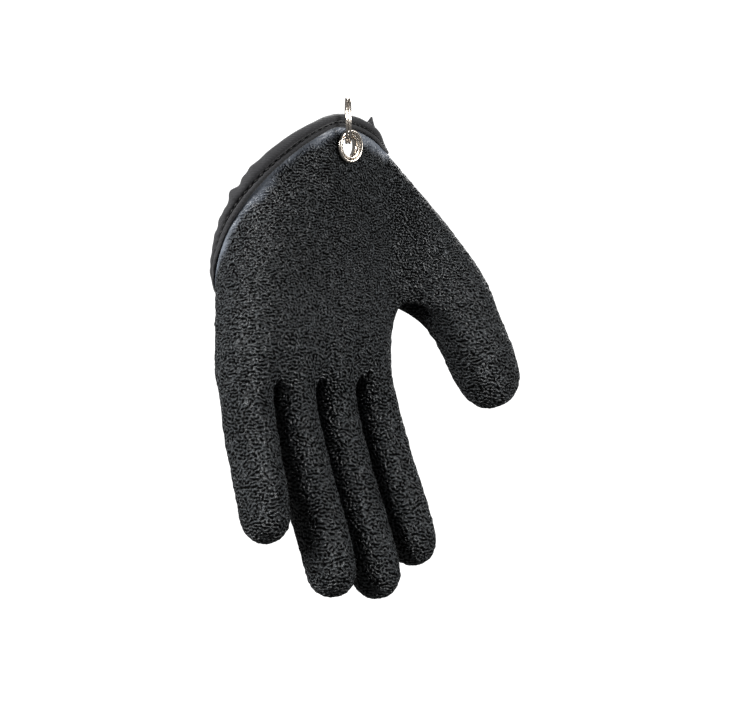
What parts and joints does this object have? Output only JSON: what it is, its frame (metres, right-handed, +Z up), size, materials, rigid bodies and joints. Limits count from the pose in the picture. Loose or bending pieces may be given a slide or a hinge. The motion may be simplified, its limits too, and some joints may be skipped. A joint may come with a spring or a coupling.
{
  "type": "fishing glove",
  "caption": "Left-hand landing glove in the form it has when worn, with a crinkled dipped coat, a bound slanted cuff, and an eyelet with a split ring on the palm side.",
  "frame": {"origin": "the middle of the cuff's mouth, where the wrist sits", "axes": "+Z runs up out of the cuff, away from the fingers. -Y is the way the palm faces, and +X is the thumb's side."},
  "size_m": [0.1518, 0.0784, 0.2264],
  "materials": {
    "dipped_coat": "crinkled latex, satin black",
    "tape_cloth": "woven binding tape, matt black",
    "bright_nickel": "bright nickel plate"
  },
  "bodies": {
    "root": {"glove_shell": "dipped_coat", "cuff_binding": "tape_cloth", "cuff_tab": "tape_cloth", "eyelet": "bright_nickel", "eyelet_washer": "bright_nickel", "split_ring": "bright_nickel"}
  },
  "joints": []
}
